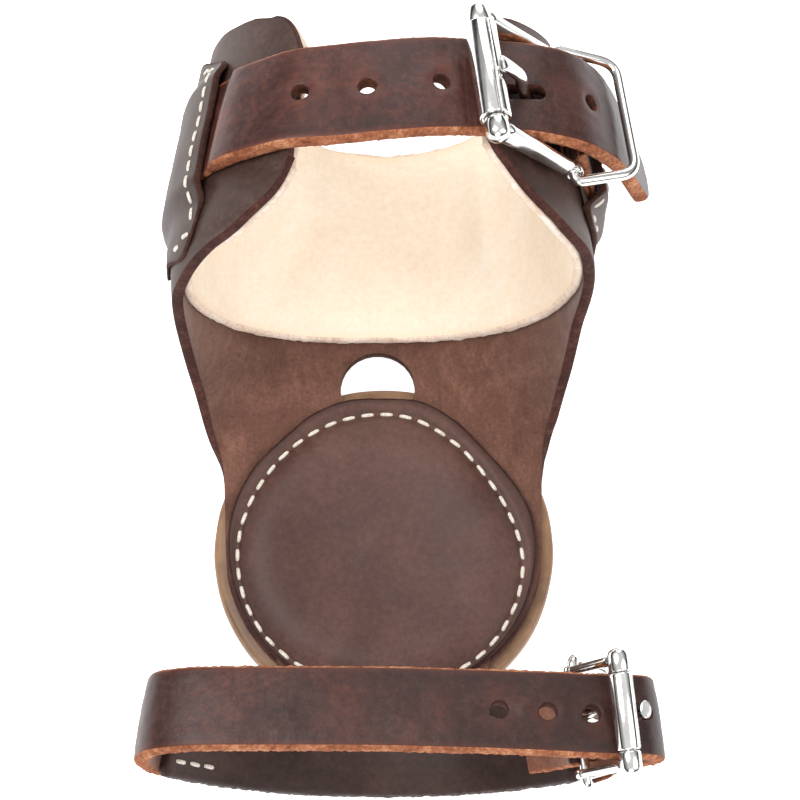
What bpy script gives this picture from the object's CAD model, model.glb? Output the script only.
"""Looks of the leather skid boot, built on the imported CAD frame. Lengths in the shape functions are
millimetres in the row frame; every mesh is made in metres."""
import math
import bmesh
import bpy
from mathutils import Matrix, Vector, noise


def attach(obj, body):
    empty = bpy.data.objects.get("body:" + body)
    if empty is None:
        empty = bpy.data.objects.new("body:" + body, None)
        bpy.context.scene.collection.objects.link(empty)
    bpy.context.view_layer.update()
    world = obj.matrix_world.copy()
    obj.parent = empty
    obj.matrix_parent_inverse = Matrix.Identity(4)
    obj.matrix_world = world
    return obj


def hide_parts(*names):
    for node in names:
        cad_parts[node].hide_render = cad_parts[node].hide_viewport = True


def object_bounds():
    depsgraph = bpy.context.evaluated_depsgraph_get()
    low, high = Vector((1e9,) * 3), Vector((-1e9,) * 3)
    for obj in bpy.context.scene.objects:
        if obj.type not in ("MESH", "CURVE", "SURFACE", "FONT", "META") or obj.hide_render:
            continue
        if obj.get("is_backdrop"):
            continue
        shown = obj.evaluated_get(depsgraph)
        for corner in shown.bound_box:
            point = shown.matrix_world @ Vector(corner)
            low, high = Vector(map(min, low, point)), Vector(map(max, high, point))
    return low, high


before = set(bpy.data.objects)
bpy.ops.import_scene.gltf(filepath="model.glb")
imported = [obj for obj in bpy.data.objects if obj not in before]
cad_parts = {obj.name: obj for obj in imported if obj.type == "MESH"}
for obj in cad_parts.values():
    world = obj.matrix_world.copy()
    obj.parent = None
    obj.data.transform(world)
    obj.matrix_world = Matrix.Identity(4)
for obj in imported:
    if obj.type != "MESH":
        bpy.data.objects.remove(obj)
cad_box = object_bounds()
MM = 0.001

# ---------------------------------------------------------------- sizes shared with the CAD model
LEATHER, LINER, STRAP, CHAPE = 3.0, 3.0, 3.8, 2.2
DISC_R, DISC_T = 42.0, 6.0
HOLE_AT, HOLE_R = (-1.6, 41.0), 9.3
CUFF_W, CUFF_D = 47.3, 49.5
PANEL_Z = DISC_T + LEATHER
WING_L, WING_R = 158.0, 152.0


# ---------------------------------------------------------------- small maths
def clamp(v, a=0.0, b=1.0):
    return max(a, min(b, v))


def step01(u):
    u = clamp(u)
    return u * u * (3 - 2 * u)


def mix(a, b, k):
    return a + (b - a) * k


def lookup(x, table):
    """Smooth curve through a short list of (x, y) points."""
    if x <= table[0][0]:
        return table[0][1]
    for (x0, y0), (x1, y1) in zip(table, table[1:]):
        if x <= x1:
            i = table.index((x0, y0))
            before = table[max(i - 1, 0)]
            after = table[min(i + 2, len(table) - 1)]
            m0 = (y1 - before[1]) / (x1 - before[0]) * (x1 - x0)
            m1 = (after[1] - y0) / (after[0] - x0) * (x1 - x0)
            u = (x - x0) / (x1 - x0)
            return ((2 * u ** 3 - 3 * u ** 2 + 1) * y0 + (u ** 3 - 2 * u ** 2 + u) * m0
                    + (3 * u ** 2 - 2 * u ** 3) * y1 + (u ** 3 - u ** 2) * m1)
    return table[-1][1]


def rounded(u):
    return math.copysign(abs(u) ** (2 / 2.3), u)


def rough(p, scale, seed=0.0):
    """Smooth noise from -1 to 1 at a point in millimetres."""
    return noise.noise(Vector((p[0] * scale + seed, p[1] * scale - seed, p[2] * scale + 2 * seed)))


# ---------------------------------------------------------------- meshes
def make(name, verts, faces, mats, indices=None, body="boot", rim=None, wear=None):
    """A smooth mesh object from points in mm, its faces turned outwards."""
    mesh = bpy.data.meshes.new(name)
    mesh.from_pydata([Vector(v) * MM for v in verts], [], faces)
    for m in mats:
        mesh.materials.append(m)
    if indices:
        mesh.polygons.foreach_set("material_index", indices)
    for key, values in (("rim", rim), ("wear", wear)):
        if values:
            layer = mesh.attributes.new(key, "FLOAT", "POINT")
            layer.data.foreach_set("value", values)
    mesh.validate()
    mesh.shade_smooth()
    obj = bpy.data.objects.new(name, mesh)
    bpy.context.scene.collection.objects.link(obj)
    if body:
        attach(obj, body)
    bm = bmesh.new()
    bm.from_mesh(mesh)
    bmesh.ops.recalc_face_normals(bm, faces=bm.faces)
    bm.to_mesh(mesh)
    bm.free()
    return obj


def turns(n):
    """n angles, evenly spaced round a circle."""
    return [2 * math.pi * k / n for k in range(n)]


def quads(sides, rings, start=0, closed=False):
    """Faces of a skin over rings of points that follow one another."""
    faces = []
    for i in range(rings if closed else rings - 1):
        near, far = start + i * sides, start + (i + 1) % rings * sides
        faces += [(near + k, near + (k + 1) % sides, far + (k + 1) % sides, far + k) for k in range(sides)]
    return faces


def caps(sides, rings, start=0):
    """The faces that close the first and the last ring."""
    last = start + (rings - 1) * sides
    return [tuple(range(start, start + sides))[::-1], tuple(range(last, last + sides))]


EDGE_STEPS = (0.0, 0.07, 0.2, 0.36, 0.5, 0.64, 0.8, 0.93, 1.0)


def slab(name, top, bottom, mats, bulge=0.8, fuzz=0.0, body="boot", rim_w=4.0, wear=None):
    """A sheet of leather between two grids of points, with rounded raw edges.
    mats are for the top, the bottom and the edges. rim runs from 0 to 1 at the edge."""
    n, m = len(top), len(top[0])
    verts, rim = [], []
    loop = ([(i, 0) for i in range(n)] + [(n - 1, j) for j in range(1, m)]
            + [(i, m - 1) for i in range(n - 2, -1, -1)] + [(0, j) for j in range(m - 2, 0, -1)])

    def out_dir(grid, i, j):
        d = Vector((0, 0, 0))
        if i in (0, n - 1):
            d += (grid[i][j] - grid[1 if i == 0 else n - 2][j]).normalized()
        if j in (0, m - 1):
            d += (grid[i][j] - grid[i][1 if j == 0 else m - 2]).normalized()
        return d.normalized() if d.length > 1e-6 else d

    for grid in (top, bottom):
        for i in range(n):
            for j in range(m):
                p = grid[i][j]
                near = min((p - grid[i][0]).length, (p - grid[i][m - 1]).length,
                           (p - grid[0][j]).length, (p - grid[n - 1][j]).length)
                verts.append(p)
                rim.append(1 - clamp(near / rim_w))
    faces, index = [], []
    a = lambda i, j: i * m + j
    b = lambda i, j: n * m + i * m + j
    for i in range(n - 1):
        for j in range(m - 1):
            faces.append((a(i, j), a(i + 1, j), a(i + 1, j + 1), a(i, j + 1)))
            faces.append((b(i, j), b(i, j + 1), b(i + 1, j + 1), b(i + 1, j)))
            index += [0, 1]
    rings = []
    for s in EDGE_STEPS:
        ring = []
        for i, j in loop:
            if s == 0.0:
                ring.append(a(i, j))
            elif s == 1.0:
                ring.append(b(i, j))
            else:
                p = top[i][j].lerp(bottom[i][j], s)
                d = out_dir(top, i, j)
                grow = bulge * math.sqrt(max(0.0, 1 - (2 * s - 1) ** 2))
                grow += fuzz * (rough(p, 0.9, 3.1) + 0.6 * rough(p, 2.3, 6.3)) * (1 if 0.1 < s < 0.9 else 0.3)
                ring.append(len(verts))
                verts.append(p + d * grow)
                rim.append(1.0)
        rings.append(ring)
    count = len(loop)
    for r0, r1 in zip(rings, rings[1:]):
        for k in range(count):
            q = (k + 1) % count
            faces.append((r0[k], r1[k], r1[q], r0[q]))
            index.append(2)
    if wear:
        wear = wear + [0.0] * (len(verts) - len(wear))
    return make(name, verts, faces, mats, index, body, rim, wear)


def cut(obj, cutters, folded=False):
    """Boolean cuts, applied. The cutters' material lines the holes.
    folded is for a sheet that lies on itself, which the plain solver turns into nothing."""
    bpy.context.view_layer.update()
    for c in cutters:
        mod = obj.modifiers.new("cut", "BOOLEAN")
        mod.object = c
        mod.operation = "DIFFERENCE"
        mod.solver = "EXACT"
        mod.use_self = folded
        mod.material_mode = "TRANSFER"
    dep = bpy.context.evaluated_depsgraph_get()
    done = bpy.data.meshes.new_from_object(obj.evaluated_get(dep))
    obj.modifiers.clear()
    obj.data = done
    for c in cutters:
        bpy.data.objects.remove(c)
    bpy.context.view_layer.update()


def punch(center, axis, r, mat, half=6.0, long_dir=None, reach=0.0):
    """A round cutter, or a long one when reach is given."""
    axis = axis.normalized()
    u = (long_dir - axis * long_dir.dot(axis)).normalized() if long_dir else axis.orthogonal().normalized()
    w = axis.cross(u)
    verts, sides = [], 28
    for z in (-half, half):
        for ang in turns(sides):
            shift = reach * (1 if math.cos(ang) > 0 else -1) if reach else 0
            verts.append(center + axis * z + u * (math.cos(ang) * r + shift) + w * math.sin(ang) * r)
    return make("cutter", verts, quads(sides, 2) + caps(sides, 2), [mat], None, None)


def tube(name, path, radii, mat, body, sides=16, up=Vector((0, 1, 0)), closed=False):
    """A rod along a path, with a radius at each of its points."""
    verts = []
    n = len(path)
    for i, p in enumerate(path):
        t = (path[(i + 1) % n] - path[i - 1]) if closed else (path[min(i + 1, n - 1)] - path[max(i - 1, 0)])
        t.normalize()
        v = (up - t * up.dot(t)).normalized()
        w = t.cross(v)
        verts += [p + w * math.cos(ang) * radii[i] + v * math.sin(ang) * radii[i] for ang in turns(sides)]
    faces = quads(sides, n, closed=closed) + ([] if closed else caps(sides, n))
    return make(name, verts, faces, [mat], None, body)


STITCH_PROFILE = [(-0.5, -0.75, 0.55), (-0.44, -0.2, 0.85), (-0.3, 0.12, 1.0), (-0.1, 0.2, 1.05),
                  (0.1, 0.2, 1.05), (0.3, 0.12, 1.0), (0.44, -0.2, 0.85), (0.5, -0.75, 0.55)]


def stitches(name, marks, mat, length=3.2, radius=0.48):
    """Marks are (middle, direction, surface normal). Each stitch arches a little and dives at its ends."""
    verts, faces = [], []
    sides = 8
    for number, (c, t, up) in enumerate(marks):
        t = t.normalized()
        up = (up - t * up.dot(t)).normalized()
        side = t.cross(up)
        wob = rough(c, 0.7, number * 0.13)
        t = (t + side * 0.10 * wob).normalized()
        start = len(verts)
        size = length * (1 + 0.06 * wob)
        for s, h, r in STITCH_PROFILE:
            for ang in turns(sides):
                verts.append(c + t * s * size + up * (h * radius + radius * 0.8 * r * math.sin(ang))
                             + side * radius * r * math.cos(ang))
        faces += quads(sides, len(STITCH_PROFILE), start) + caps(sides, len(STITCH_PROFILE), start)
    return make(name, verts, faces, [mat])


# ---------------------------------------------------------------- materials
class Nodes:
    """Short calls for one material's node tree."""

    def __init__(self, name):
        self.mat = bpy.data.materials.new(name)
        self.mat.use_nodes = True
        self.tree = self.mat.node_tree
        self.shader = self.tree.nodes["Principled BSDF"]
        coord = self.tree.nodes.new("ShaderNodeTexCoord")
        self.place = coord.outputs["Object"]

    def link(self, a, b):
        self.tree.links.new(a, b)

    def set(self, **values):
        for key, value in values.items():
            self.shader.inputs[key.replace("_", " ")].default_value = value

    def noise(self, scale, detail=3.0, rough=0.55, distortion=0.0, stretch=None):
        n = self.tree.nodes.new("ShaderNodeTexNoise")
        n.inputs["Scale"].default_value = scale
        n.inputs["Detail"].default_value = detail
        n.inputs["Roughness"].default_value = rough
        n.inputs["Distortion"].default_value = distortion
        source = self.place
        if stretch:
            m = self.tree.nodes.new("ShaderNodeMapping")
            m.inputs["Scale"].default_value = stretch
            self.link(self.place, m.inputs["Vector"])
            source = m.outputs["Vector"]
        self.link(source, n.inputs["Vector"])
        return n.outputs["Fac"]

    def cells(self, scale, feature="DISTANCE_TO_EDGE"):
        n = self.tree.nodes.new("ShaderNodeTexVoronoi")
        n.feature = feature
        n.inputs["Scale"].default_value = scale
        self.link(self.place, n.inputs["Vector"])
        return n.outputs["Distance"]

    def across(self):
        """The place along X, in metres."""
        n = self.tree.nodes.new("ShaderNodeSeparateXYZ")
        self.link(self.place, n.inputs["Vector"])
        return n.outputs["X"]

    def attribute(self, name):
        n = self.tree.nodes.new("ShaderNodeAttribute")
        n.attribute_name = name
        return n.outputs["Fac"]

    def ramp(self, value, stops):
        n = self.tree.nodes.new("ShaderNodeValToRGB")
        el = n.color_ramp.elements
        while len(el) < len(stops):
            el.new(0.5)
        for e, (pos, color) in zip(el, stops):
            e.position = pos
            e.color = (*color, 1) if len(color) == 3 else color
        self.link(value, n.inputs["Fac"])
        return n.outputs["Color"]

    def range(self, value, lo, hi, out_lo, out_hi):
        n = self.tree.nodes.new("ShaderNodeMapRange")
        for key, v in (("From Min", lo), ("From Max", hi), ("To Min", out_lo), ("To Max", out_hi)):
            n.inputs[key].default_value = v
        self.link(value, n.inputs["Value"])
        return n.outputs["Result"]

    def math(self, kind, a, b):
        n = self.tree.nodes.new("ShaderNodeMath")
        n.operation = kind
        for socket, v in zip(n.inputs, (a, b)):
            if isinstance(v, (int, float)):
                socket.default_value = v
            else:
                self.link(v, socket)
        return n.outputs[0]

    def mixed(self, factor, a, b, kind="MIX"):
        n = self.tree.nodes.new("ShaderNodeMix")
        n.data_type = "RGBA"
        n.blend_type = kind
        if isinstance(factor, (int, float)):
            n.inputs[0].default_value = factor
        else:
            self.link(factor, n.inputs[0])
        for socket, v in ((n.inputs[6], a), (n.inputs[7], b)):
            if isinstance(v, tuple):
                socket.default_value = (*v, 1)
            else:
                self.link(v, socket)
        return n.outputs[2]

    def bump(self, heights):
        """heights: (value, strength, distance in mm) stacked into one normal."""
        normal = None
        for value, strength, distance in heights:
            n = self.tree.nodes.new("ShaderNodeBump")
            n.inputs["Strength"].default_value = strength
            n.inputs["Distance"].default_value = distance * MM
            self.link(value, n.inputs["Height"])
            if normal:
                self.link(normal, n.inputs["Normal"])
            normal = n.outputs["Normal"]
        self.link(normal, self.shader.inputs["Normal"])

    def color(self, value):
        self.link(value, self.shader.inputs["Base Color"])

    def roughness(self, value):
        self.link(value, self.shader.inputs["Roughness"])


def srgb(r, g, b):
    return tuple((v / 255 / 12.92) if v <= 10 else ((v / 255 + 0.055) / 1.055) ** 2.4 for v in (r, g, b))


def grain_leather(name, dark, mid, light, patch=45, rough_at=(0.38, 0.6), pores=900, rub=None, rim=None,
                  pore_depth=0.12, wrinkle=0.25, gloss=0.35, shade=None):
    """Smooth-side leather: broad clouds, fine speckle and pebble, and colour that changes towards the rim.
    rub is the colour where the leather is worn. shade darkens it along X: from and to in mm, and how much."""
    n = Nodes(name)
    clouds = n.noise(patch, 6, 0.62, 0.6)
    fine = n.noise(700, 5, 0.7)
    tone = n.math("ADD", n.math("MULTIPLY", clouds, 0.55), n.math("MULTIPLY", fine, 0.45))
    color = n.ramp(tone, [(0.34, dark), (0.50, mid), (0.66, light)])
    if rub:
        speck = n.range(n.noise(420, 5, 0.75, 0.4), 0.38, 0.62, 0.35, 1.0)
        worn = n.math("MULTIPLY", n.attribute("wear"), speck)
        color = n.mixed(worn, color, rub)
        spots = n.range(n.noise(150, 4, 0.7, 1.2), 0.56, 0.74, 0, 0.45)
        color = n.mixed(spots, color, rub)
    if rim:
        edge = n.range(n.attribute("rim"), 0.45, 1.0, 0, 0.8)
        color = n.mixed(edge, color, rim)
    if shade:
        darker = n.range(n.across(), shade[0] * MM, shade[1] * MM, 0, shade[2])
        color = n.mixed(darker, color, (0.0, 0.0, 0.0))
    n.color(color)
    n.roughness(n.range(tone, 0.3, 0.7, rough_at[0], rough_at[1]))
    pebble = n.cells(pores)
    n.bump([(clouds, wrinkle, 0.5), (pebble, 0.35, pore_depth), (n.noise(2600, 2), 0.25, 0.05)])
    n.set(Specular_IOR_Level=gloss)
    return n.mat


def suede_leather(name, dark, mid, light, rim=None, nap=0.3, patch=70):
    """Flesh-side leather: short nap, cloudy colour, no gloss."""
    n = Nodes(name)
    clouds = n.noise(patch, 6, 0.68, 0.8)
    nap_noise = n.noise(1100, 5, 0.75)
    streak = n.noise(500, 4, 0.7, 0.5, (1.0, 0.3, 1.0))
    tone = n.math("ADD", n.math("MULTIPLY", clouds, 0.45),
                  n.math("ADD", n.math("MULTIPLY", nap_noise, 0.33), n.math("MULTIPLY", streak, 0.22)))
    color = n.ramp(tone, [(0.34, dark), (0.50, mid), (0.66, light)])
    if rim:
        color = n.mixed(n.range(n.attribute("rim"), 0.4, 1.0, 0, 0.75), color, rim)
    n.color(color)
    n.set(Roughness=0.92, Specular_IOR_Level=0.25, Sheen_Weight=0.25, Sheen_Roughness=0.6)
    n.bump([(clouds, 0.15, 0.4), (nap_noise, nap, 0.18)])
    return n.mat


def raw_edge(name, dark, mid, light, fibre=0.5):
    """Cut edge: layered fibres with deep pits."""
    n = Nodes(name)
    fibres = n.noise(900, 6, 0.75, 0.6)
    clouds = n.noise(160, 5, 0.7)
    tone = n.math("ADD", n.math("MULTIPLY", fibres, 0.55), n.math("MULTIPLY", clouds, 0.45))
    n.color(n.ramp(tone, [(0.36, dark), (0.50, mid), (0.64, light)]))
    n.set(Roughness=0.9, Specular_IOR_Level=0.25)
    n.bump([(fibres, fibre, 0.25), (clouds, 0.3, 0.4)])
    return n.mat


def metal(name, tint, rough=0.12, scratch=0.25):
    """Bright nickel plate: slight waviness, fine scratches, dull patches."""
    n = Nodes(name)
    dull = n.noise(220, 4, 0.6)
    lines = n.noise(1400, 3, 0.6, 0.0, (1.0, 0.08, 1.0))
    n.color(n.ramp(dull, [(0.3, tuple(v * 0.86 for v in tint)), (0.65, tint)]))
    n.roughness(n.range(dull, 0.35, 0.7, rough, rough + 0.10))
    n.bump([(n.noise(90, 2), 0.12, 0.3), (lines, scratch * 0.2, 0.03)])
    n.set(Metallic=1.0)
    return n.mat


def thread(name):
    n = Nodes(name)
    twist = n.noise(1500, 3, 0.6, 0.0, (1.0, 1.0, 1.0))
    n.color(n.ramp(twist, [(0.3, srgb(196, 184, 166)), (0.6, srgb(238, 232, 220))]))
    n.set(Roughness=0.65, Sheen_Weight=0.2)
    n.bump([(twist, 0.6, 0.15)])
    return n.mat


def build_materials():
    m = {}
    m["pad"] = grain_leather("pad_grain", srgb(66, 42, 36), srgb(83, 56, 49), srgb(100, 71, 62),
                             patch=38, rough_at=(0.45, 0.6), pores=1300, pore_depth=0.06, wrinkle=0.12,
                             rim=srgb(58, 34, 30))
    m["pad_edge"] = raw_edge("pad_edge", srgb(40, 23, 19), srgb(56, 33, 28), srgb(76, 48, 38))
    m["suede"] = suede_leather("body_suede", srgb(74, 44, 34), srgb(104, 69, 56), srgb(134, 96, 80),
                               rim=srgb(60, 32, 27))
    m["cuff"] = grain_leather("cuff_grain", srgb(52, 36, 31), srgb(70, 50, 44), srgb(92, 72, 65),
                              patch=60, rough_at=(0.45, 0.62), pores=1500, pore_depth=0.08)
    m["body_edge"] = raw_edge("body_edge", srgb(44, 22, 20), srgb(68, 38, 33), srgb(98, 62, 52))
    for name, k in (("strap", 1.06), ("strap_low", 0.93)):
        tone = lambda *rgb: srgb(*(v * k for v in rgb))
        m[name] = grain_leather(name + "_grain", tone(38, 19, 17), tone(68, 38, 33), tone(106, 62, 50),
                                patch=42, rough_at=(0.36, 0.52), pores=800, rub=tone(116, 58, 42),
                                rim=tone(96, 48, 34), pore_depth=0.14, wrinkle=0.3, gloss=0.4,
                                shade=(-40, 56, 0.55))
    m["strap_flesh"] = suede_leather("strap_flesh", srgb(92, 50, 34), srgb(130, 78, 54), srgb(164, 108, 78))
    m["strap_edge"] = raw_edge("strap_edge", srgb(104, 56, 38), srgb(158, 96, 66), srgb(214, 156, 116), 1.0)
    m["hole"] = raw_edge("strap_hole", srgb(40, 20, 14), srgb(78, 42, 30), srgb(116, 66, 46))
    m["liner"] = grain_leather("liner_grain", srgb(242, 224, 202), srgb(251, 237, 217), srgb(255, 247, 234),
                               patch=30, rough_at=(0.6, 0.75), pores=1400, pore_depth=0.04, wrinkle=0.1,
                               rim=srgb(246, 226, 200))
    m["liner_edge"] = raw_edge("liner_edge",
                               srgb(218, 186, 162), srgb(241, 219, 200), srgb(253, 242, 230), 0.9)
    m["overlay"] = grain_leather("overlay_grain", srgb(48, 33, 29), srgb(66, 47, 42), srgb(88, 67, 61),
                                 patch=50, rough_at=(0.45, 0.6), pores=1500, pore_depth=0.07,
                                 rim=srgb(58, 34, 29))
    m["overlay_edge"] = raw_edge("overlay_edge", srgb(44, 26, 22), srgb(66, 40, 33), srgb(92, 60, 50))
    m["band"] = grain_leather("band_grain", srgb(44, 31, 28), srgb(60, 43, 39), srgb(78, 58, 53),
                              patch=60, rough_at=(0.42, 0.58), pores=1400, pore_depth=0.07)
    m["disc_edge"] = disc_edge()
    m["disc_back"] = grain_leather("disc_back", srgb(92, 60, 40), srgb(122, 86, 60), srgb(150, 110, 82),
                                   patch=40, rough_at=(0.45, 0.7), pores=900, rub=srgb(150, 108, 78))
    m["nickel"] = metal("nickel_cast", (0.80, 0.79, 0.77), 0.10)
    m["tube"] = metal("nickel_tube", (0.93, 0.92, 0.90), 0.10, 0.4)
    m["wire"] = metal("nickel_wire", (0.79, 0.78, 0.76), 0.08)
    m["thread"] = thread("waxed_thread")
    return m


def disc_edge():
    """Stacked, burnished leather: thin layers seen edge on."""
    n = Nodes("disc_edge")
    layers = n.noise(900, 4, 0.6, 0.0, (0.06, 0.06, 1.6))
    clouds = n.noise(90, 5, 0.65)
    tone = n.math("ADD", n.math("MULTIPLY", layers, 0.5), n.math("MULTIPLY", clouds, 0.5))
    n.color(n.ramp(tone, [(0.34, srgb(100, 70, 48)), (0.5, srgb(142, 106, 76)), (0.66, srgb(174, 136, 102))]))
    n.roughness(n.range(clouds, 0.3, 0.7, 0.38, 0.6))
    n.bump([(layers, 0.4, 0.2), (clouds, 0.2, 0.4)])
    return n.mat


M = build_materials()


# ---------------------------------------------------------------- the moulded body
def half_w(y):
    return CUFF_W - 0.15 * max(0.0, y - 54)


def half_d(y):
    return CUFF_D * step01((y - 19) / 33) - 0.19 * max(0.0, y - 54)


def back_z(y):
    return PANEL_Z + 0.1 * max(0.0, y - 54)


def curled(y):
    b = half_d(y)
    return b / (b + 5)


def flat(y):
    return 2.6 * (1 - step01((y - 39) / 12))


def body_at(t, y, d):
    """A point on the body: t degrees round from the back's middle, y along, d in from the inner face.
    Beside the disc the leather lies flat and then turns up in a soft bend."""
    r = math.radians(t)
    low = flat(y)
    rise = (half_d(y) - d * curled(y)) * (1 - rounded(math.cos(r))) - low
    soft = lambda v: 0.5 * (v + math.sqrt(v * v + (0.7 * low) ** 2))
    return Vector(((half_w(y) - d * curled(y)) * rounded(math.sin(r)), y,
                   back_z(y) + d + soft(rise) - soft(-low)))


TAIL_Y, TAIL_W, PANEL_R, ROUND_T = -57.0, 24.0, 39.2, 53.2
LEFT_EDGE = [(53.2, 0), (54.7, 16.5), (61.7, 27.9), (69, 36.2), (85, 43.8), (111, 45.7), (129, 47.5),
             (140, 49), (148.6, 52.4), (153, 55.5), (156.7, 61.7), (158, 68.2)]
RIGHT_EDGE = [(53.2, 0), (53.8, 20.6), (58.9, 31.7), (66.8, 40.4), (74.7, 47.1), (94, 50.1),
              (106.5, 50.8), (123.6, 52), (137.6, 57.1), (146, 64.2), (150.6, 69.3), (152, 75)]
TOP_EDGE = [(0, 101.5), (22, 103), (60, 106), (95, 108.5), (136, 107.3), (144, 106)]
# The liner's lower edge, which is drawn up to 3 mm lower than its plain CAD solid
LEFT_RIM = [(0, 52.7), (40, 51.2), (60, 50.6), (75, 50.0), (95, 48.8), (110, 48.5)]
RIGHT_RIM = [(0, 52.7), (40, 52.4), (60, 52.6), (75, 52.6), (95, 51), (110, 50)]


def panel_low(t):
    if abs(t) < ROUND_T:
        x = CUFF_W * rounded(math.sin(math.radians(abs(t))))
        around = -math.sqrt(max(0.0, PANEL_R ** 2 - x * x))
        if x < TAIL_W:
            return TAIL_Y
        return mix(TAIL_Y, around, (x - TAIL_W) / 1.5) if x < TAIL_W + 1.5 else around
    return lookup(abs(t), LEFT_EDGE if t < 0 else RIGHT_EDGE)


def panel_high(t):
    u = max(0.0, (abs(t) - (WING_L if t < 0 else WING_R) + 12) / 12)
    return lookup(abs(t), TOP_EDGE) - 18 * (1 - math.sqrt(max(0.0, 1 - u * u)))


def liner_low(t):
    return max(lookup(abs(t), LEFT_RIM if t < 0 else RIGHT_RIM), 0 if abs(t) < 75 else panel_low(t) + 0.5)


def span(lo, hi, n):
    return [mix(lo, hi, i / n) for i in range(n + 1)]


def eased(n):
    """0 to 1, closer together at both ends."""
    return [0.5 - 0.5 * math.cos(math.pi * i / n) if n > 8 else i / n for i in range(n + 1)]


def inset_rows(low, high, n, edge):
    return [mix(low + edge, high - edge, u) for u in eased(n)]


def wavy(t, y):
    """Gentle unevenness of the moulded leather, 0 where it lies on the disc."""
    k = step01((y - 40) / 20)
    return k * (0.55 * rough((t * 0.8, y, 0), 0.035, 2.2) + 0.25 * rough((t * 0.8, y, 5), 0.11, 7.7))


def panel_rows(t, edge):
    """Rows along y. Those above the break line up between neighbouring columns."""
    low, high = panel_low(t), panel_high(t)
    turn = max(20.0, low + 3)
    below = [mix(low + edge, turn, 1 - math.cos(math.pi * i / 48)) for i in range(24)]
    return below + [mix(turn, high - edge, math.sin(math.pi * i / 64)) for i in range(33)]


def body_panel():
    angles = (span(-WING_L + 0.8, -55.4, 96) + [-54.6, -53.9] + span(-ROUND_T, -29, 20) + [-28.2, -27.4]
              + span(-26.5, 26.5, 44) + [27.4, 28.2] + span(29, ROUND_T, 20) + [53.6, 54.1, 54.8]
              + span(55.6, WING_R - 0.8, 92))
    edge = 0.9

    def grid(d):
        return [[body_at(t, y, d + wavy(t, y)) for y in panel_rows(t, edge)] for t in angles]

    obj = slab("panel", grid(0), grid(-LEATHER), [M["suede"], M["cuff"], M["body_edge"]], edge, 0.18,
               rim_w=3.2)
    cut(obj, [punch(Vector((HOLE_AT[0], HOLE_AT[1], 8)), Vector((0, 0, 1)), HOLE_R, M["body_edge"], 12)])
    obj.data.shade_smooth()
    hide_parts("body_panel")
    return obj


def crease(t, y):
    """Two soft upright folds in the liner where the cuff starts to turn, and a little puckering."""
    folds = 0.0
    for at, wide, deep in ((-26, 6, 1.5), (36, 6, 1.3), (-72, 11, 0.8), (78, 11, 0.8)):
        folds += deep * math.exp(-((t - at) / wide) ** 2) * step01((y - 56) / 18)
    pucker = 0.35 * rough((t * 0.8, y, 1), 0.09, 4.4) + 0.5 * rough((t * 0.8, y, 9), 0.03, 1.1)
    return folds + pucker


def cuff_liner():
    angles = span(-WING_L + 1.6, WING_R - 1.6, 190)
    edge = 1.0

    def grid(d, bumps):
        rows = []
        for t in angles:
            ys = inset_rows(liner_low(t), panel_high(t) - 0.6, 40, edge)
            lip = lambda y: 0.5 * math.exp(-((y - ys[0]) / 2.2) ** 2)
            rows.append([body_at(t, y, d + wavy(t, y) + bumps * (crease(t, y) - lip(y))) for y in ys])
        return rows

    obj = slab("liner", grid(LINER + 0.1, 1), grid(0.1, 0), [M["liner"], M["liner_edge"], M["liner_edge"]],
               edge, 0.35, rim_w=3.5)
    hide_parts("cuff_liner")
    return obj


# ---------------------------------------------------------------- disc and pad
SEAM_STITCHES = 46
GROOVE_R = 35.6


def skid_disc():
    """Turned leather disc: rounded burnished edge, stitch groove in the back, faint wear."""
    g, e, t = GROOVE_R, DISC_R, DISC_T
    profile = [(0, 0), (12, 0), (24, 0), (g - 1.4, 0), (g - 1, 0.5), (g - 0.6, 1.1), (g, 1.25),
               (g + 0.6, 1.1), (g + 1, 0.5), (g + 1.4, 0), (e - 2.5, 0), (e - 1.1, 0.15), (e - 0.4, 0.65),
               (e - 0.05, 1.6), (e, t / 2), (e - 0.05, t - 1.6), (e - 0.4, t - 0.6), (e - 1, t - 0.1),
               (e - 1.7, t), (30, t), (15, t), (0, t)]
    sides = 180
    verts = []
    for r, z in profile:
        uneven = 0.16 if r > g + 2 else 0.0
        for a in turns(sides):
            grow = uneven * rough((r * math.cos(a), r * math.sin(a), z), 0.12, 1.7)
            verts.append(((r + grow) * math.cos(a), (r + grow) * math.sin(a), z))
    index = [0 if r >= e - 3 else 1 for r, z in profile[:-1] for k in range(sides)]
    obj = make("skid", verts, quads(sides, len(profile)), [M["disc_edge"], M["disc_back"]], index)
    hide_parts("skid_disc")
    return obj


PAD_EDGE = [(-90, 38.4), (-45, 38.2), (-10, 37.9), (12, 37.2), (30, 35.7), (46, 35.2), (62, 36.6),
            (77, 38.2), (90, 38.0), (104, 38.4), (120, 37.9), (132, 37.2), (150, 38.0), (185, 38.5),
            (215, 38.5), (270, 38.4)]
SEAM = [(-90, 37), (-45, 36.4), (-10, 34.6), (15, 31.8), (35, 30.6), (57, 31.4), (80, 33.2), (104, 33.5),
        (145, 33.8), (165, 34.8), (185, 36), (215, 37), (270, 37)]


def round_table(a, table):
    deg = math.degrees(a) % 360
    return lookup(deg - 360 if deg > 270 else deg, table)


def pad_outline(a):
    """Radius of the pad's cut edge: round, trimmed at its shoulders and straight under the dirt hole."""
    r = round_table(a, PAD_EDGE) + 0.12 * math.sin(7 * a)
    s = math.sin(a)
    return min(r, 38.2 / s) if s > 0.9 else r


def seam_radius(a):
    return min(round_table(a, SEAM), pad_outline(a) - 1.7)


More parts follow.
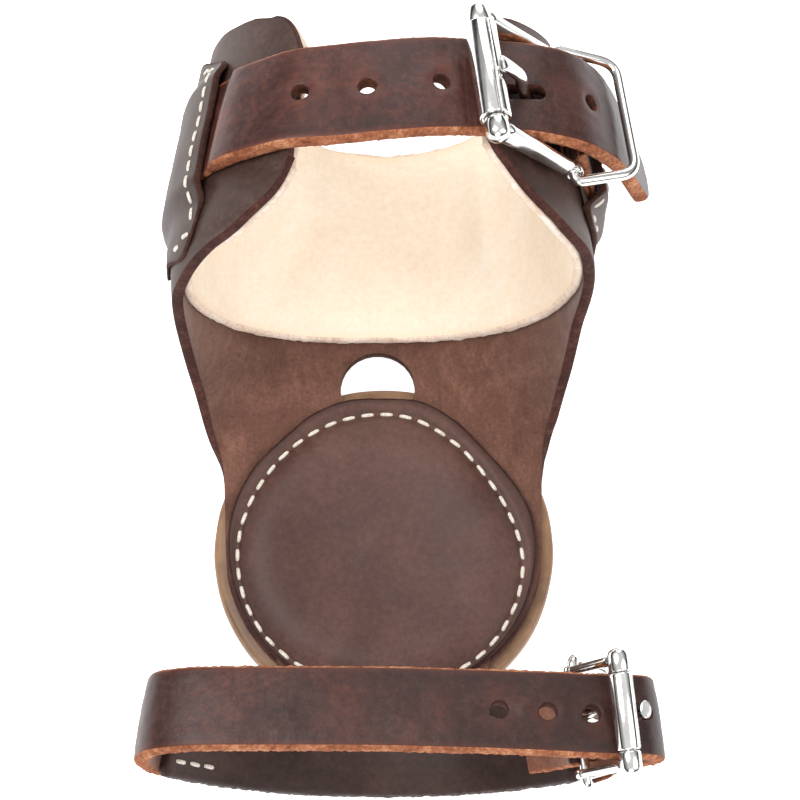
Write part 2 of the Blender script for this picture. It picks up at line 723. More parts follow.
def pad_height(x, y):
    a = math.atan2(y, x)
    r = math.hypot(x, y)
    seam = seam_radius(a)
    u = r / seam
    top = PANEL_Z + 2.25
    if u < 1:
        ring = 2.1 * math.sin(math.pi * clamp(u) ** 3.2)
        top += 1.15 * (1 - u ** 6) + ring
    # the seam pulls the leather down into a furrow between the padded part and the flange
    top -= 0.62 * math.exp(-((r - seam) / 1.0) ** 2)
    top += 0.25 * math.exp(-((r - seam - 2.2) / 1.0) ** 2)
    # little puckers between stitches
    top += 0.12 * math.cos(a * SEAM_STITCHES) * math.exp(-((r - seam + 1.2) / 1.4) ** 2)
    return top + 0.28 * rough((x, y, 0), 0.05, 5.5) + 0.12 * rough((x, y, 3), 0.16, 8.8)


def pad_cover():
    sides, rings = 240, 64
    top, low = [], []
    for k in range(sides + 1):
        a = 2 * math.pi * (k % sides) / sides
        edge = pad_outline(a) - 0.7
        row, under = [], []
        for j in range(rings + 1):
            r = max(0.02, edge * (j / rings) ** 0.85)
            x, y = r * math.cos(a), r * math.sin(a)
            row.append(Vector((x, y, pad_height(x, y))))
            under.append(Vector((x, y, PANEL_Z + 0.08)))
        top.append(row)
        low.append(under)
    verts, faces, index, rim = [], [], [], []
    m = rings + 1
    for grid in (top, low):
        for k in range(sides):
            for j in range(m):
                verts.append(grid[k][j])
                rim.append(clamp(1 - (rings - j) / 5))
    a = lambda k, j: (k % sides) * m + j
    b = lambda k, j: sides * m + (k % sides) * m + j
    for k in range(sides):
        for j in range(rings):
            faces += [(a(k, j), a(k, j + 1), a(k + 1, j + 1), a(k + 1, j)),
                      (b(k, j), b(k + 1, j), b(k + 1, j + 1), b(k, j + 1))]
            index += [0, 1]
    last = [a(k, rings) for k in range(sides)]
    for s in EDGE_STEPS[1:]:
        ring = []
        for k in range(sides):
            if s == 1.0:
                ring.append(b(k, rings))
                continue
            p = top[k][rings].lerp(low[k][rings], s)
            out = Vector((p.x, p.y, 0)).normalized()
            ring.append(len(verts))
            verts.append(p + out * (0.7 * math.sqrt(max(0, 1 - (2 * s - 1) ** 2)) + 0.15 * rough(p, 0.8)))
            rim.append(1.0)
        for k in range(sides):
            q = (k + 1) % sides
            faces.append((last[k], ring[k], ring[q], last[q]))
            index.append(1)
        last = ring
    obj = make("pad", verts, faces, [M["pad"], M["pad_edge"]], index, rim=rim)
    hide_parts("pad_cover", "pad_cushion")
    return obj


def seam_marks(radius_at, height_at, count, up):
    """Evenly spaced stitches round a closed seam."""
    samples = 720
    ring = []
    for k in range(samples + 1):
        a = 2 * math.pi * k / samples
        r = radius_at(a)
        ring.append(Vector((r * math.cos(a), r * math.sin(a), 0)))
    lengths = [0.0]
    for p, q in zip(ring, ring[1:]):
        lengths.append(lengths[-1] + (q - p).length)
    marks, j = [], 0
    for i in range(count):
        want = lengths[-1] * (i + 0.5) / count
        while lengths[j + 1] < want:
            j += 1
        p, q = ring[j], ring[j + 1]
        c = p.lerp(q, (want - lengths[j]) / (lengths[j + 1] - lengths[j]))
        marks.append((Vector((c.x, c.y, height_at(c.x, c.y))), (q - p).normalized(), up))
    return marks


def seams():
    top = stitches("pad_thread", seam_marks(seam_radius, lambda x, y: pad_height(x, y) + 0.23, SEAM_STITCHES,
                                            Vector((0, 0, 1))), M["thread"], 3.2, 0.5)
    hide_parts("pad_stitching")
    back = stitches("disc_thread", seam_marks(lambda a: GROOVE_R, lambda x, y: 1.0, SEAM_STITCHES,
                                              Vector((0, 0, -1))), M["thread"], 3.2, 0.5)
    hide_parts("disc_stitching")


# ---------------------------------------------------------------- side overlays
OVERLAY_T = 1.9
HIDDEN_T = 1.7
SIDES = {-1: dict(mid=78.0, ease=0.6, ramp=6.0, t=(88, 128.5)),
         1: dict(mid=80.0, ease=0.2, ramp=4.5, t=(78, 111))}


def overlay_low(side, t):
    if side < 0:
        return 51 - 3 * step01((t - 95) / 21) + 9 * (max(0.0, t - 116) / 12.5) ** 2
    return 59 + 1.5 * (max(0.0, t - 104) / 7) ** 2


def overlay_high(side, t):
    return 104 - 6.5 * step01((t - 98) / 30) if side < 0 else 104


def overlay_d(side, t, y):
    k = SIDES[side]
    half = 13 + k["ease"]
    up = step01((y - (k["mid"] - half - k["ramp"])) / k["ramp"]) - step01((y - (k["mid"] + half)) / k["ramp"])
    step = HIDDEN_T + 0.6 if side < 0 else mix(3.4, 5.2, step01((t - 94) / 16))
    return -LEATHER - 0.16 - step * up


def overlay_thick(y):
    return OVERLAY_T * (0.5 + 0.5 * step01((y - 52) / 12))


def overlay_bump(t, y):
    return 0.22 * rough((t, y, 0), 0.12, 6.1)


def overlay_at(side, t, y, outer=1):
    """A point on an overlay's outer face, or on its inner face where outer is 0."""
    d = overlay_d(side, t, y) - outer * (overlay_thick(y) + overlay_bump(t, y))
    return body_at(side * t, y, d + wavy(side * t, y))


def overlay(side, name, node):
    k = SIDES[side]
    angles = span(k["t"][0] + 0.6, k["t"][1] - 0.6, 48)

    def grid(outer):
        rows = []
        for t in angles:
            u = abs((t - (k["t"][0] + k["t"][1]) / 2) / ((k["t"][1] - k["t"][0]) / 2))
            trim = 2.5 * max(0.0, (u - 0.82) / 0.18) ** 2
            ys = inset_rows(overlay_low(side, t) + trim, overlay_high(side, t) - trim, 60, 0.6)
            rows.append([overlay_at(side, t, y, outer) for y in ys])
        return rows

    mats = [M["overlay"], M["strap_flesh"], M["overlay_edge"]]
    obj = slab(name, grid(1), grid(0), mats, 0.6, 0.2, rim_w=2.5)
    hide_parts(node)
    return obj


def overlay_thread(side, name, node):
    k = SIDES[side]

    def mark(t, y, dt, dy):
        p, q = overlay_at(side, t - dt, y - dy), overlay_at(side, t + dt, y + dy)
        across = overlay_at(side, t + dy, y + dt) - overlay_at(side, t - dy, y - dt)
        up = (q - p).cross(across)
        out = Vector((p.x, 0, p.z - 55))
        return (p + q) / 2, q - p, up if up.dot(out) > 0 else -up

    t_seam = k["t"][1] - (5 if side < 0 else 3.6)
    lo, hi = overlay_low(side, t_seam) + 3, overlay_high(side, t_seam) - 3
    marks = [mark(t_seam, mix(lo, hi, (i + 0.5) / 10), 0, 0.6) for i in range(10)]
    for i in range(2):
        t = t_seam - 3.2 - 6.5 * i
        marks += [mark(t, overlay_low(side, t) + 2.6, 0.6, 0), mark(t, overlay_high(side, t) - 2.6, 0.6, 0)]
    obj = stitches(name, marks, M["thread"], 3.2, 0.48)
    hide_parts(node)


# ---------------------------------------------------------------- straps
def spline(path, s):
    n = len(path) - 1
    i = min(int(s), n - 1)
    u = s - i
    a, b, c, d = (path[max(i - 1, 0)], path[i], path[i + 1], path[min(i + 2, n)])
    return [0.5 * (2 * q + (r - p) * u + (2 * p - 5 * q + 4 * r - w) * u * u
                   + (3 * q - p - 3 * r + w) * u ** 3) for p, q, r, w in zip(a, b, c, d)]


def heading(path, s):
    n = len(path) - 1
    a, b = spline(path, max(s - 0.02, 0)), spline(path, min(s + 0.02, n))
    return Vector((b[0] - a[0], 0, b[2] - a[2])).normalized()


def strap_frame(path, s):
    """Middle of the leather, direction, width direction towards +Y and outward normal."""
    p = spline(path, s)
    t = heading(path, s)
    n = Vector((-t.z, 0, t.x))
    lean = math.tan(math.radians(p[3]))
    wide = (Vector((0, 1, 0)) - n * lean).normalized()
    out = (n + Vector((0, lean, 0))).normalized()
    return Vector(p[:3]), t, wide, out


def even_steps(path, count):
    """Spline parameters that are evenly spaced along the strap."""
    n = len(path) - 1
    fine = span(0, n, 600)
    pts = [Vector(spline(path, s)[:3]) for s in fine]
    run = [0.0]
    for p, q in zip(pts, pts[1:]):
        run.append(run[-1] + (q - p).length)
    out, j = [], 0
    for i in range(count + 1):
        want = run[-1] * i / count
        while j < len(run) - 2 and run[j + 1] < want:
            j += 1
        out.append(mix(fine[j], fine[j + 1], (want - run[j]) / max(run[j + 1] - run[j], 1e-9)))
    return out, run[-1]


def strap(name, node, path, half, thick, mats, count, tip=(0, 1), relief=None, seed=0.0, crown=0.35, cuts=(),
          skive=None, wear=None):
    """tip: length of the narrowing end along the path, and its final share of the width.
    skive: thickness of the hidden end and where it has grown to full thickness."""
    steps, length = even_steps(path, count)
    edge = 0.75
    n = len(path) - 1

    def grid(side):
        rows = []
        for i, s in enumerate(steps):
            c, t, wide, out = strap_frame(path, s)
            here = length * i / count
            w = half
            if tip[0]:
                w *= 1 - (1 - tip[1]) * max(0.0, (s - n + tip[0]) / tip[0]) ** 2
                w *= math.sqrt(1 - 0.5 * clamp((here - length + 5) / 5) ** 2)
            w -= edge
            body = mix(skive[0], thick, step01((s - skive[1]) / 0.9)) if skive else thick
            row = []
            for e in span(-1, 1, 30):
                e = math.copysign(abs(e) ** 0.8, e)
                d = side * body / 2
                if side > 0:
                    d -= crown * abs(e) ** 3
                    d += 0.16 * rough((here, e * half, 0), 0.12, seed)
                    d += 0.08 * rough((here, e * half, 2), 0.4, seed)
                    if relief:
                        d += relief(s, e)
                drift = 0.25 * rough((here, 0, side), 0.03, seed + 5)
                drift += 0.10 * rough((here, e, 0), 0.15, seed + 9)
                row.append(c + wide * (e * w + drift * 0.5) + out * d)
            rows.append(row)
        return rows

    worn = [wear(s, e * half) for s in steps for e in span(-1, 1, 30)] if wear else None
    obj = slab(name, grid(1), grid(-1), mats, edge, 0.36, rim_w=2.6, wear=worn)
    if cuts:
        cut(obj, [c() for c in cuts])
        obj.data.shade_smooth()
    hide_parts(node)
    return obj


def rubbed(path, holes, patches, seed):
    """Where the pull-up leather has gone lighter and redder: round the holes and over the bends."""
    marks = [(strap_frame(path, h)[0], 3.6, 0.75) for h in holes]
    marks += [(strap_frame(path, h)[0], size, much) for h, size, much in patches]

    def wear(s, across):
        c, t, wide, out = strap_frame(path, s)
        p = c + wide * across
        much = 0.0
        for at, size, deep in marks:
            d = p - at
            d -= wide * d.dot(wide) * 0.45
            much += deep * math.exp(-(d.length / size) ** 2) * (0.75 + 0.5 * rough(p, 0.35, seed))
        return clamp(much)
    return wear


def ring_relief(spots):
    """A dent and a raised lip round each punched hole: spots are (s, width in s)."""
    def relief(s, e):
        d = 0.0
        for at, wide in spots:
            r = math.hypot((s - at) / wide, e / 0.24)
            d += -0.35 * math.exp(-(r / 0.8) ** 2) + 0.14 * math.exp(-((r - 1.35) / 0.35) ** 2)
        return d
    return relief


LEFT_MID = 78.0
UPPER_PATH = ([(*body_at(t, LEFT_MID, d), lean) for t, d, lean in
               ((-97, -4.15, 8.5), (-106, -4.15, 10), (-115, -4.15, 11.4), (-123, -4.15, 12.5),
                (-129.5, -4.15, 13.2), (-137, -5.75, 13.6), (-145, -6.3, 13.5))]
              + [(-21, 78.9, 103.1, 12.5), (-11, 79.3, 104.6, 11), (0, 80.2, 105.4, 11),
                 (11, 81.6, 103.9, 12), (20, 82.9, 100.7, 13), (28, 83.1, 98.9, 13), (36.5, 82.8, 97.1, 13),
                 (44.2, 82.3, 93.5, 13), (49.5, 81.9, 87.2, 12), (53.2, 81.6, 80, 12), (56, 81.2, 71.5, 12),
                 (58.8, 80.7, 62, 12), (61.2, 80.3, 54, 12)])
LOWER_PATH = [(-42.9, -53, 28.6, 11), (-47.1, -53, 33.6, 12), (-51.7, -53, 40, 12.5), (-53.5, -53, 47, 11),
              (-53.3, -53, 54, 8), (-50.8, -53, 60.3, 6), (-44.5, -53, 64, 6), (-36, -53, 65.4, 6),
              (-20, -53, 65.6, 6), (0, -53.1, 65.5, 6), (20, -53.6, 65.2, 6), (36, -54, 64.3, 5),
              (46, -54.3, 63.4, 4), (53, -54.3, 62.3, 4), (58.8, -53.9, 59.9, 5), (61.4, -53.5, 54.6, 7),
              (59.8, -52.9, 48.4, 8), (56, -52.4, 43, 8.5), (51.3, -52.1, 38, 8.5), (47.6, -52.6, 32, 10)]
UPPER_HOLES = [7.28, 8.7, 10.2, 14.4]
LOWER_HOLES = [10.35, 11.08, 12.1]
UPPER_W, LOWER_W, STRAP_HOLE = 26.0, 19.6, 2.1


class Place:
    """A buckle's own frame: origin in the heel bar, X to the roller, Y along the bar, Z out."""

    def __init__(self, at, turn, twist):
        x, y = (math.radians(v) for v in turn)
        self.at = Vector(at)
        self.turn = Matrix.Rotation(y, 3, "Y") @ Matrix.Rotation(x, 3, "X") @ Matrix.Rotation(
            math.radians(twist), 3, "Z")

    def __call__(self, x, y, z):
        return self.at + self.turn @ Vector((x, y, z))

    def dir(self, x, y, z):
        return self.turn @ Vector((x, y, z))


# eye: radius of the bullet-shaped end. narrow: play between the strap's edge and the keeper's wire.
UPPER = dict(key="upper", place=Place((41.7, 81.7, 87.5), (193.4, -131.4), -4.3), w=UPPER_W, length=26.6,
             roller=3.7, ring=15.4, ring_at=32.0, eye=2.9, arm_in=UPPER_W / 2 + 1.2, arm_t=3.0,
             tube=UPPER_W / 2 - 0.1, narrow=1.3, shift=1.5)
LOWER = dict(key="lower", place=Place((45.1, -52.7, 49), (189, -66.2), 5), w=LOWER_W, length=21.8,
             roller=2.7, ring=17.0, ring_at=58.0, eye=2.6, arm_in=LOWER_W / 2 + 1.0, arm_t=2.1,
             tube=LOWER_W / 2 - 1.2, narrow=1.6, shift=0.0)


def strap_punch(path, s):
    def build():
        c, t, wide, out = strap_frame(path, s)
        return punch(c, out, STRAP_HOLE, M["hole"], 5)
    return build


def tongue_punch(k, x, z, lean, reach):
    def build():
        a = math.radians(lean)
        axis = k["place"].dir(math.sin(a), 0, math.cos(a))
        along = k["place"].dir(math.cos(a), 0, -math.sin(a))
        return punch(k["place"](x, k["shift"], z), axis, STRAP_HOLE, M["hole"], 7, along, reach)
    return build


def billets():
    mats = [M["strap"], M["strap_flesh"], M["strap_edge"]]

    def upper_relief(s, e):
        d = ring_relief([(h, 0.30) for h in UPPER_HOLES])(s, e)
        # the strap is creased where earlier buckling pulled it over the roller
        for at, deep in ((10.75, 0.2), (10.9, 0.14), (13.2, 0.1)):
            d -= deep * math.exp(-((s - at) / 0.05) ** 2)
        return d

    def lower_relief(s, e):
        d = ring_relief([(h, 0.26) for h in LOWER_HOLES])(s, e)
        for at, deep in ((12.55, 0.22), (12.7, 0.28), (12.82, 0.2), (11.6, 0.1), (5.4, 0.1)):
            d -= deep * math.exp(-((s - at) / 0.035) ** 2) * (0.6 + 0.4 * math.sin(3 * e + at))
        return d

    upper_worn = ((4.6, 4, 0.8), (8.0, 5, 0.4), (11.3, 5, 0.5), (13.6, 4, 0.4))
    strap("upper_strap", "upper_billet", UPPER_PATH, UPPER_W / 2, STRAP, mats, 300, (5.2, 0.62),
          upper_relief, 1.3, skive=(HIDDEN_T, 4.1), wear=rubbed(UPPER_PATH, UPPER_HOLES, upper_worn, 2.0),
          cuts=[strap_punch(UPPER_PATH, s) for s in UPPER_HOLES] + [tongue_punch(UPPER, 15.5, 1, 54, 2.8)])
    mats = [M["strap_low"], M["strap_flesh"], M["strap_edge"]]
    lower_worn = ((3.6, 5, 0.6), (8.6, 7, 0.6), (9.6, 5, 0.45), (12.6, 4, 0.5))
    strap("lower_strap", "lower_billet", LOWER_PATH, LOWER_W / 2, STRAP, mats, 330, (0.8, 0.7),
          lower_relief, 4.7, wear=rubbed(LOWER_PATH, LOWER_HOLES, lower_worn, 6.0),
          cuts=[strap_punch(LOWER_PATH, s) for s in LOWER_HOLES] + [tongue_punch(LOWER, 16.9, 5, 84, 2.7)])


# ---------------------------------------------------------------- pastern band
BAND_T = 3.2


def band_point(x):
    z = PANEL_Z + 0.15 + BAND_T / 2 + 28 * (abs(x) / 46) ** 2.2
    return (x, -52.2 - 1.2 * (abs(x) / 46) ** 2, z, 13 * (abs(x) / 48) ** 2)


BAND = [band_point(x) for x in (43.5, 40, 34, 26, 16, 0, -16, -26, -34, -41, -48.5)]


def pastern_band():
    def roll(_s, e):
        """The lower edge is turned over and sewn flat, so it is thicker, with a furrow beside it."""
        return 0.35 * math.exp(-((e + 0.82) / 0.16) ** 2) - 0.3 * math.exp(-((e + 0.55) / 0.07) ** 2)

    mats = [M["band"], M["band"], M["band"]]
    obj = strap("band", "pastern_band", BAND, 10.6, BAND_T, mats, 150, (0, 1), roll, 8.1, 0.2)
    marks = []
    for s in (0.5, 0.85, 1.2, 9.0, 9.35, 9.7):
        for e in (-6.5, 6.5):
            c, t, wide, out = strap_frame(BAND, s)
            marks.append((c + wide * e - out * (BAND_T / 2 + 0.1), t, -out))
    thread_obj = stitches("band_thread", marks, M["thread"])
    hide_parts("band_stitching")
    return obj


# ---------------------------------------------------------------- chapes
BAR_R = 1.25
UPPER_FOLD = [(0, 0), (-4, -1.5), (-8, -3.2), (-11.5, -4.7), (-15, -6.6), (-18, -8.6)]
LOWER_FOLD = [(0, 0), (-5, -0.2), (-12, -1.1), (-18.5, -3.6)]


def fold_path(line, thin):
    """Middle of the chape's leather and its thickness: out along one layer, round the bar and back along
    the other. Both layers are skived towards the sewn end."""
    reach = BAR_R + 0.13 + CHAPE / 2
    n = len(line) - 1

    def normal(i):
        a, b = line[max(i - 1, 0)], line[min(i + 1, n)]
        v = Vector((b[0] - a[0], b[1] - a[1])).normalized()
        return Vector((-v.y, v.x))

    def layer(side):
        pts = []
        for i in range(n, 0, -1):
            thick = mix(CHAPE, thin, (i - 1) / (n - 1))
            gap = thick / 2 + 0.06
            gap = mix(reach, gap, 0.55) if i == 1 and abs(line[1][0]) < 4.5 else gap
            p = Vector(line[i]) + normal(i) * side * gap
            pts.append((p.x, thick, p.y, 0.0))
        return pts

    upper, lower = layer(-1), layer(1)
    start = math.atan2(normal(0).y, normal(0).x)
    arc = [(reach * math.cos(a), CHAPE, reach * math.sin(a), 0.0)
           for a in (start + math.pi * (1 + k / 10) for k in range(11))]
    far = lambda p, q: math.hypot(p[0] - q[0], p[2] - q[2])
    if far(arc[0], upper[-1]) > far(arc[-1], upper[-1]):
        arc.reverse()
    return upper + arc + lower[::-1]


def chape(k, line, thin, name, node):
    pts4 = fold_path(line, thin)
    place = k["place"]
    half = k["w"] / 2
    count = 140
    steps = even_steps(pts4, count)[0]
    edge = 0.55

    def grid(side):
        rows = []
        for i, s in enumerate(steps):
            p = spline(pts4, s)
            t = heading(pts4, s)
            n = Vector((-t.z, 0, t.x))
            rows.append([place(p[0], e * (half - edge), p[2]) + place.dir(n.x, 0, n.z) * (
                side * (p[1] / 2 - 0.02) - (0.18 * abs(e) ** 3 if side > 0 else 0)
                + 0.05 * rough((i, e * 6, 0), 0.3, 2.5)) for e in span(-1, 1, 20)])
        return rows

    mats = [M["strap"], M["strap_flesh"], M["strap_edge"]]
    outer = grid(1)
    inner = grid(-1)
    middle = place(0, 0, 0)
    if (outer[count // 2][10] - middle).length < (inner[count // 2][10] - middle).length:
        outer, inner = inner, outer
    obj = slab(name, outer, inner, mats, edge, 0.2, rim_w=2.0)
    middle = place(0.9, k["shift"], 0)
    cut(obj, [punch(middle, place.dir(0, 0, 1), 2.3, M["hole"], 9, place.dir(1, 0, 0), 2.9)], folded=True)
    obj.data.shade_smooth()
    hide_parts(node)
    return obj


# ---------------------------------------------------------------- buckles
def loft(name, sections, mat, body, ends=True):
    """Sections are lists of points, the same number in each. ends closes the first and the last."""
    m, n = len(sections[0]), len(sections)
    faces = quads(m, n) + (caps(m, n) if ends else [])
    return make(name, [p for sec in sections for p in sec], faces, [mat], None, body)


def superring(place, x, y, z, wy, wz, power=2.6, sides=20):
    """A rounded-rectangle section across an arm."""
    pts = []
    for a in turns(sides):
        c, s = math.cos(a), math.sin(a)
        py = math.copysign(abs(c) ** (2 / power), c) * wy
        pz = math.copysign(abs(s) ** (2 / power), s) * wz
        pts.append(place(x, y + py, z + pz))
    return pts


def buckle_frame(k):
    """Two tapered cast arms with an eye on the heel bar and a bullet-shaped end on the roller's pin."""
    place, length, r, tube_half = k["place"], k["length"], k["eye"], k["tube"]
    mat, body, key = M["nickel"], k["key"] + "_frame", k["key"]
    for side in (-1, 1):
        y_in, y_out = k["arm_in"], k["arm_in"] + k["arm_t"]
        mid = side * (y_in + y_out) / 2
        w = k["arm_t"] / 2
        sections = []
        for x, wy, wz in ((1.3, w * 0.94, 2.05), (2.6, w * 0.97, 2.15), (6, w * 0.98, 2.2),
                          (length * 0.45, w, 2.3), (length * 0.7, w, 2.4), (length - 3.2, w, r - 0.25),
                          (length - 0.6, w * 0.98, r - 0.3)):
            sections.append(superring(place, x, mid, 0, wy, wz, 2.8))
        loft(f"{key}_arm_{'a' if side < 0 else 'b'}", sections, mat, body)
        # eye round the heel bar: a short ring
        ring, sides = [], 36
        outer_r, inner_r = BAR_R + 0.95, BAR_R + 0.08
        profile = [(inner_r, -w), (outer_r - 0.4, -w), (outer_r, -w + 0.4), (outer_r, w - 0.4),
                   (outer_r - 0.4, w), (inner_r, w)]
        for q in range(sides + 1):
            a = 2 * math.pi * q / sides
            ring.append([place(pr * math.cos(a), mid + py, pr * math.sin(a)) for pr, py in profile])
        loft(f"{key}_eye_{'a' if side < 0 else 'b'}", ring, mat, body, ends=False)
        # bullet-shaped end that holds the roller's pin
        eye_in, tip = tube_half + 0.25, y_out - 0.3 + r * 0.7
        sections = []
        for y, rr in ((eye_in, r * 0.90), (eye_in + 0.35, r * 0.985), (mix(eye_in, y_out, 0.55), r * 0.985),
                      (y_out - 0.3, r * 0.96), (mix(y_out, tip, 0.35), r * 0.86),
                      (mix(y_out, tip, 0.65), r * 0.68), (mix(y_out, tip, 0.88), r * 0.42), (tip, r * 0.08)):
            sections.append([place(length + rr * math.cos(a), side * y, rr * math.sin(a))
                             for a in turns(32)])
        loft(f"{key}_bullet_{'a' if side < 0 else 'b'}", sections, mat, body)
    tube(f"{key}_pin", [place(length, y, 0) for y in span(-tube_half - 0.8, tube_half + 0.8, 2)],
                     [r - 1.1] * 3, mat, body, up=place.dir(1, 0, 0))
    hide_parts(f"{key}_buckle_frame")


def roller(k):
    """A rolled sheet tube: the two edges almost meet along one side."""
    place, length, r = k["place"], k["length"], k["roller"]
    wall, gap = r - k["eye"] + 1.02, math.radians(9)
    seam = math.radians(62 if k["key"] == "upper" else 48)
    half = k["tube"]
    profile = [(r - wall, -half + 0.25), (r - wall + 0.25, -half), (r - 0.35, -half), (r - 0.1, -half + 0.12),
               (r, -half + 0.4), (r, half - 0.4), (r - 0.1, half - 0.12), (r - 0.35, half),
               (r - wall + 0.25, half), (r - wall, half - 0.25)]
    sections = []
    steps = 64
    for q in range(steps + 1):
        a = seam + gap / 2 + (2 * math.pi - gap) * q / steps
        close = 1 - 0.035 * math.exp(-min(q, steps - q) / 1.6)
        sections.append([place(length + pr * close * math.cos(a), py, pr * close * math.sin(a))
                         for pr, py in profile])
    obj = loft(f"{k['key']}_roller_tube", sections, M["tube"], k["key"] + "_roller")
    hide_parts(f"{k['key']}_roller")


def tongue(k):
    """Wire tongue: an eye rolled round the heel bar, a rise through the strap, and a blunt flattened tip."""
    place, length, r, shift = k["place"], k["length"], k["roller"], k["shift"]
    rest = r + 1.5 + 0.3
    body = k["key"] + "_tongue"
    path = [(1.9, 0.0), (5.5, -0.3), (length * 0.42, -0.5), (length * 0.6, 1.4), (length * 0.78, rest - 1.05),
            (length * 0.9, rest - 0.35), (length, rest - 0.1), (length + 1.4, rest - 0.05),
            (length + 2.0, rest - 0.2)]
    pts4 = [(x, 0.0, z, 0.0) for x, z in path]
    n = len(path) - 1
    sections = []
    for s in span(0, n, 56):
        p = spline(pts4, s)
        t = heading(pts4, s)
        nrm = Vector((-t.z, 0, t.x))
        end = step01((s - n + 3.6) / 2.6)
        close = math.sqrt(max(0.16, 1 - clamp((s - n + 0.6) / 0.6) ** 4))
        wy = mix(1.5, 2.0, end) * close
        wz = mix(1.5, 1.25, end) * close
        sections.append([place(p[0] + nrm.x * wz * math.sin(a), shift + wy * math.cos(a),
                               p[2] + nrm.z * wz * math.sin(a)) for a in turns(24)])
    rod = loft(f"{k['key']}_tongue_rod", sections, M["wire"], body)
    profile = [(BAR_R + 0.08, -1.55), (BAR_R + 0.9, -1.7), (BAR_R + 1.2, -1.2), (BAR_R + 1.2, 1.2),
               (BAR_R + 0.9, 1.7), (BAR_R + 0.08, 1.55)]
    ring = []
    for q in range(33):
        a = 2 * math.pi * q / 32
        ring.append([place(pr * math.cos(a), shift + py, pr * math.sin(a)) for pr, py in profile])
    eye = loft(f"{k['key']}_tongue_eye", ring, M["wire"], body, ends=False)
    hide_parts(f"{k['key']}_tongue")


def keeper_ring(k):
    """One length of wire bent into a ring; its straight side is the heel bar."""
    place = k["place"]
    a = math.radians(k["ring_at"])
    wide = k["arm_in"] + k["arm_t"] + BAR_R + 0.5
    narrow = k["w"] / 2 + BAR_R + k["narrow"]
    far = k["ring"]
    corners = [(0, -wide), (0, wide), (far, narrow), (far, -narrow)]
    pts = []
    for i, c in enumerate(corners):
        before, after = corners[i - 1], corners[(i + 1) % 4]
        c, p, q = Vector(c), Vector(before), Vector(after)
        turn = 4.2 if i > 1 else 2.0
        a0, a1 = c + (p - c).normalized() * turn, c + (q - c).normalized() * turn
        for u in span(0, 1, 8):
            pts.append(a0.lerp(c, u).lerp(c.lerp(a1, u), u))
    world = [place(-d * math.cos(a), y, d * math.sin(a)) for d, y in pts]
    up = place.dir(math.sin(a), 0, math.cos(a))
    obj = tube(f"{k['key']}_keeper_wire", world, [BAR_R] * len(world), M["wire"], k["key"] + "_keeper", 20,
               up, closed=True)
    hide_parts(f"{k['key']}_keeper_ring")


# ---------------------------------------------------------------- build
body_panel()
cuff_liner()
skid_disc()
pad_cover()
seams()
overlay(-1, "overlay_left", "left_overlay")
overlay(1, "overlay_right", "right_overlay")
overlay_thread(-1, "overlay_left_thread", "left_overlay_stitching")
overlay_thread(1, "overlay_right_thread", "right_overlay_stitching")
billets()
pastern_band()
chape(UPPER, UPPER_FOLD, 0.95, "upper_fold", "upper_chape")
chape(LOWER, LOWER_FOLD, 1.7, "lower_fold", "lower_chape")
for buckle in (UPPER, LOWER):
    buckle_frame(buckle)
    roller(buckle)
    tongue(buckle)
    keeper_ring(buckle)


# ---------------------------------------------------------------- floor, light, camera
def floor():
    n = Nodes("floor")
    n.set(Base_Color=(0.8, 0.8, 0.8, 1), Roughness=0.9, Emission_Color=(1, 1, 1, 1), Emission_Strength=0.85)
    mesh = bpy.data.meshes.new("floor")
    s = 6.0
    mesh.from_pydata([(-s, -s, 0), (s, -s, 0), (s, s, 0), (-s, s, 0)], [], [(0, 1, 2, 3)])
    mesh.materials.append(n.mat)
    obj = bpy.data.objects.new("floor", mesh)
    bpy.context.scene.collection.objects.link(obj)
    obj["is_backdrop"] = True


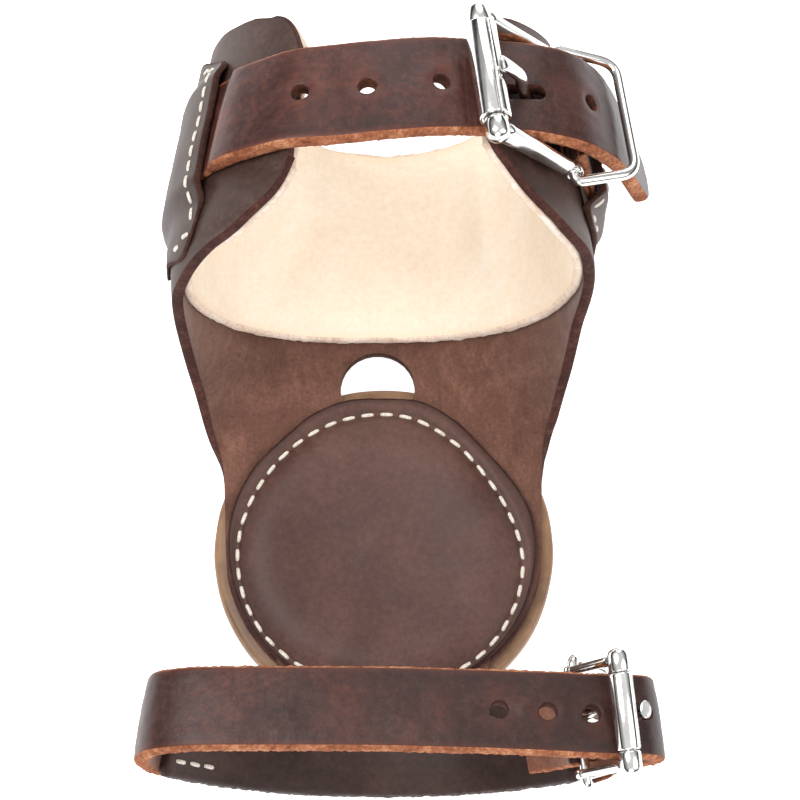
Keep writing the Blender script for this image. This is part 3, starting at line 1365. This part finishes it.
def light(name, at, size, power, target=(0, 0.02, 0.05)):
    data = bpy.data.lights.new(name, "AREA")
    data.shape = "DISK"
    data.size = size
    data.energy = power
    obj = bpy.data.objects.new(name, data)
    bpy.context.scene.collection.objects.link(obj)
    obj.location = at
    obj.rotation_euler = (Vector(target) - Vector(at)).to_track_quat("-Z", "Y").to_euler()


def studio():
    """White overhead, a darker ring near the horizon that draws dark lines in the metal."""
    world = bpy.data.worlds.new("world")
    world.use_nodes = True
    tree = world.node_tree
    coord = tree.nodes.new("ShaderNodeTexCoord")
    split = tree.nodes.new("ShaderNodeSeparateXYZ")
    ramp = tree.nodes.new("ShaderNodeValToRGB")
    tree.links.new(coord.outputs["Generated"], split.inputs[0])
    tree.links.new(split.outputs["Z"], ramp.inputs["Fac"])
    el = ramp.color_ramp.elements
    stops = ((0.0, 0.75), (0.05, 0.06), (0.30, 0.05), (0.40, 0.45), (0.62, 0.55), (0.70, 1.0))
    while len(el) < len(stops):
        el.new(0.5)
    for e, (pos, v) in zip(el, stops):
        e.position = pos
        e.color = (v, v, v, 1)
    tree.links.new(ramp.outputs["Color"], tree.nodes["Background"].inputs["Color"])
    tree.nodes["Background"].inputs["Strength"].default_value = 0.8
    bpy.context.scene.world = world


def camera():
    data = bpy.data.cameras.new("camera")
    data.sensor_width = 36
    data.lens = 141.75
    data.clip_end = 50
    obj = bpy.data.objects.new("camera", data)
    bpy.context.scene.collection.objects.link(obj)
    target = Vector((0.004, 0.0262, 0.045))
    tilt = math.radians(72)
    back = Vector((0, -math.cos(tilt), math.sin(tilt)))
    obj.location = target + back * 0.75
    obj.rotation_euler = (-back).to_track_quat("-Z", "Y").to_euler()
    bpy.context.scene.camera = obj


floor()
light("key", (-0.45, 0.10, 0.95), 0.7, 6.0)
light("fill", (0.75, -0.30, 0.75), 0.9, 4.0)
light("back", (0.1, 0.95, 0.55), 0.8, 3.5)
light("front", (0.0, -0.9, 0.5), 0.8, 2.5)
studio()
bpy.context.scene.view_settings.view_transform = "Standard"
camera()

plain = lambda pair: [[float(v) for v in corner] for corner in pair]
{"cad": plain(cad_box), "visual": plain(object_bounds())}
